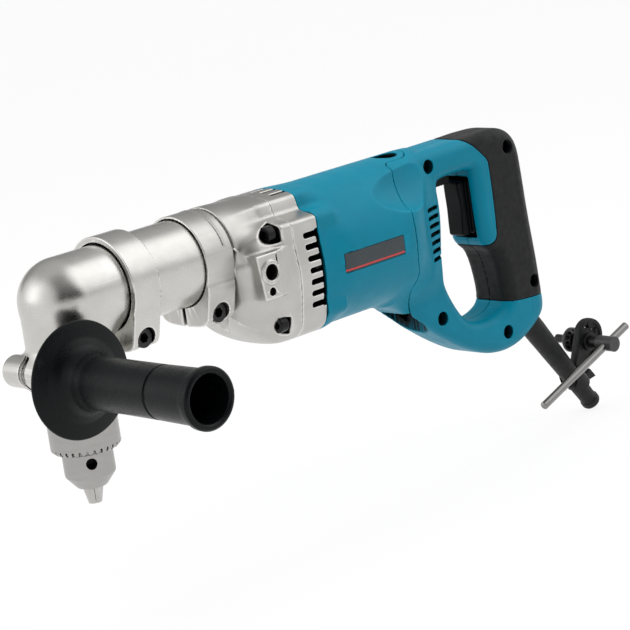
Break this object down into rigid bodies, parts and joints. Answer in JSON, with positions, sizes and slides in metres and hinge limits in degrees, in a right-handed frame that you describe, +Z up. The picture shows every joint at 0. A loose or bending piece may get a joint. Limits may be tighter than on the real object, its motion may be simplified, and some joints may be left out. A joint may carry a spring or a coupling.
{
  "type": "right angle drill",
  "caption": "Corded right angle drill with swivelling angle head, keyed chuck, round motor, D-handle with trigger, side handle and a chuck key held on the cord guard.",
  "frame": {"origin": "centre of the chuck's nose, on the spindle axis, jaws closed", "axes": "+Z up along the spindle away from the bit, +X back along the motor to the handle, +Y to the tool's right, away from the side handle"},
  "size_m": [0.5435, 0.206, 0.2333],
  "materials": {
    "cast_aluminium": "satin cast and machined",
    "bearing_steel": "ground",
    "gear_steel": "hardened, dark",
    "shaft_steel": "ground",
    "chuck_steel": "bright ground",
    "dark_steel": "black oxide",
    "side_plastic": "fine textured black",
    "bronze": "sintered",
    "teal_plastic": "satin moulded",
    "plate_grey": "printed plate, left blank",
    "lamination": "laminated",
    "copper_winding": "lacquered",
    "copper_bar": "turned",
    "inner_plastic": "moulded",
    "carbon": "sooty",
    "spring_steel": "drawn wire",
    "rubber_grip": "matte",
    "rubber_cord": "matte",
    "control_plastic": "satin",
    "key_steel": "oiled",
    "bar_steel": "zinc plated"
  },
  "bodies": {
    "housing": {"joint_sleeve": "cast_aluminium", "clamp_bolts": "dark_steel", "gear_housing": "cast_aluminium", "output_bearing": "bearing_steel", "bearing_clip": "dark_steel", "bearing_plate": "cast_aluminium", "case_screws": "dark_steel", "output_bush": "bronze", "counter_bushes": "bronze", "motor_housing": "teal_plastic", "name_plate": "plate_grey", "stator_core": "lamination", "field_coils": "copper_winding", "front_motor_bearing": "bearing_steel", "rear_motor_bearing": "bearing_steel", "brush_holders": "inner_plastic", "carbon_brushes": "carbon", "brush_springs": "spring_steel", "brush_caps": "inner_plastic", "handle_left": "teal_plastic", "handle_right": "teal_plastic", "grip_left": "rubber_grip", "grip_right": "rubber_grip", "handle_screws": "dark_steel", "switch_body": "inner_plastic", "cord_guard": "rubber_cord", "cord_clamp": "inner_plastic", "key_holder": "rubber_cord"},
    "head": {"head_casing": "cast_aluminium", "input_bearing": "bearing_steel", "spindle_upper_bearing": "bearing_steel", "spindle_lower_bearing": "bearing_steel", "bearing_retainer": "dark_steel"},
    "pinion": {"bevel_pinion": "gear_steel"},
    "spindle": {"spindle": "shaft_steel", "bevel_gear": "gear_steel", "chuck_body": "chuck_steel", "chuck_screw": "dark_steel"},
    "chuck_ring": {"chuck_sleeve": "chuck_steel", "chuck_nut": "dark_steel"},
    "jaw_a": {"jaw_1": "chuck_steel"},
    "jaw_b": {"jaw_2": "chuck_steel"},
    "jaw_c": {"jaw_3": "chuck_steel"},
    "side_handle": {"side_grip": "side_plastic", "side_stud": "dark_steel"},
    "armature": {"armature_shaft": "shaft_steel", "armature_core": "lamination", "armature_winding": "copper_winding", "commutator": "copper_bar", "fan": "inner_plastic"},
    "counter": {"counter_shaft": "shaft_steel", "counter_gear": "gear_steel"},
    "output": {"output_shaft": "shaft_steel", "output_gear": "gear_steel"},
    "trigger": {"trigger": "control_plastic"},
    "lever": {"reverse_lever": "control_plastic"},
    "key": {"chuck_key": "key_steel"},
    "key_handle": {"key_bar": "bar_steel"}
  },
  "joints": [
    {"name": "head_swivel", "type": "hinge", "parent": "housing", "child": "head", "pos_m": [0.04, 0, 0.129], "axis": [1, 0, 0], "continuous": true},
    {"name": "motor_spin", "type": "hinge", "parent": "housing", "child": "armature", "pos_m": [0.226, 0, 0.108], "axis": [1, 0, 0], "continuous": true},
    {"name": "counter_spin", "type": "hinge", "parent": "housing", "child": "counter", "pos_m": [0.14, 0.01933, 0.11314], "axis": [1, 0, 0], "continuous": true},
    {"name": "output_spin", "type": "hinge", "parent": "housing", "child": "output", "pos_m": [0.13, 0, 0.129], "axis": [1, 0, 0], "continuous": true},
    {"name": "pinion_spin", "type": "hinge", "parent": "head", "child": "pinion", "pos_m": [0.04, 0, 0.129], "axis": [1, 0, 0], "continuous": true},
    {"name": "spindle_spin", "type": "hinge", "parent": "head", "child": "spindle", "pos_m": [0, 0, 0.09], "axis": [0, 0, 1], "continuous": true},
    {"name": "chuck_sleeve_turn", "type": "hinge", "parent": "spindle", "child": "chuck_ring", "pos_m": [0, 0, 0.047], "axis": [0, 0, 1], "range_deg": [0, 5400]},
    {"name": "jaw_a_slide", "type": "slide", "parent": "spindle", "child": "jaw_a", "axis": [0.121, 0.2095, 0.9703], "range_m": [0, 0.0265]},
    {"name": "jaw_b_slide", "type": "slide", "parent": "spindle", "child": "jaw_b", "axis": [-0.2419, 0, 0.9703], "range_m": [0, 0.0265]},
    {"name": "jaw_c_slide", "type": "slide", "parent": "spindle", "child": "jaw_c", "axis": [0.121, -0.2095, 0.9703], "range_m": [0, 0.0265]},
    {"name": "side_handle_removal", "type": "slide", "parent": "head", "child": "side_handle", "axis": [0, -1, 0], "range_m": [0, 0.03]},
    {"name": "trigger_pull", "type": "slide", "parent": "housing", "child": "trigger", "axis": [1, 0, 0], "range_m": [0, 0.007], "stiffness_N_per_m": 700, "springref_m": -0.008},
    {"name": "reverse_switch", "type": "hinge", "parent": "housing", "child": "lever", "pos_m": [0.334, 0, 0.129], "axis": [0, 0, 1], "range_deg": [-15, 15]},
    {"name": "key_turn", "type": "hinge", "parent": "housing", "child": "key", "pos_m": [0.46, 0, -0.0215], "axis": [0, 1, 0], "continuous": true},
    {"name": "key_bar_slide", "type": "slide", "parent": "key", "child": "key_handle", "axis": [0.9438, 0, 0.3305], "range_m": [0, 0.056]}
  ],
  "couplings": [
    {"joint": "counter_spin", "follows": "motor_spin", "ratio": -0.19048},
    {"joint": "output_spin", "follows": "motor_spin", "ratio": 0.036281},
    {"joint": "pinion_spin", "follows": "motor_spin", "ratio": 0.036281},
    {"joint": "spindle_spin", "follows": "motor_spin", "ratio": 0.018141},
    {"joint": "jaw_a_slide", "follows": "chuck_sleeve_turn", "m_per_rad": 0.00028011},
    {"joint": "jaw_b_slide", "follows": "chuck_sleeve_turn", "m_per_rad": 0.00028011},
    {"joint": "jaw_c_slide", "follows": "chuck_sleeve_turn", "m_per_rad": 0.00028011}
  ]
}
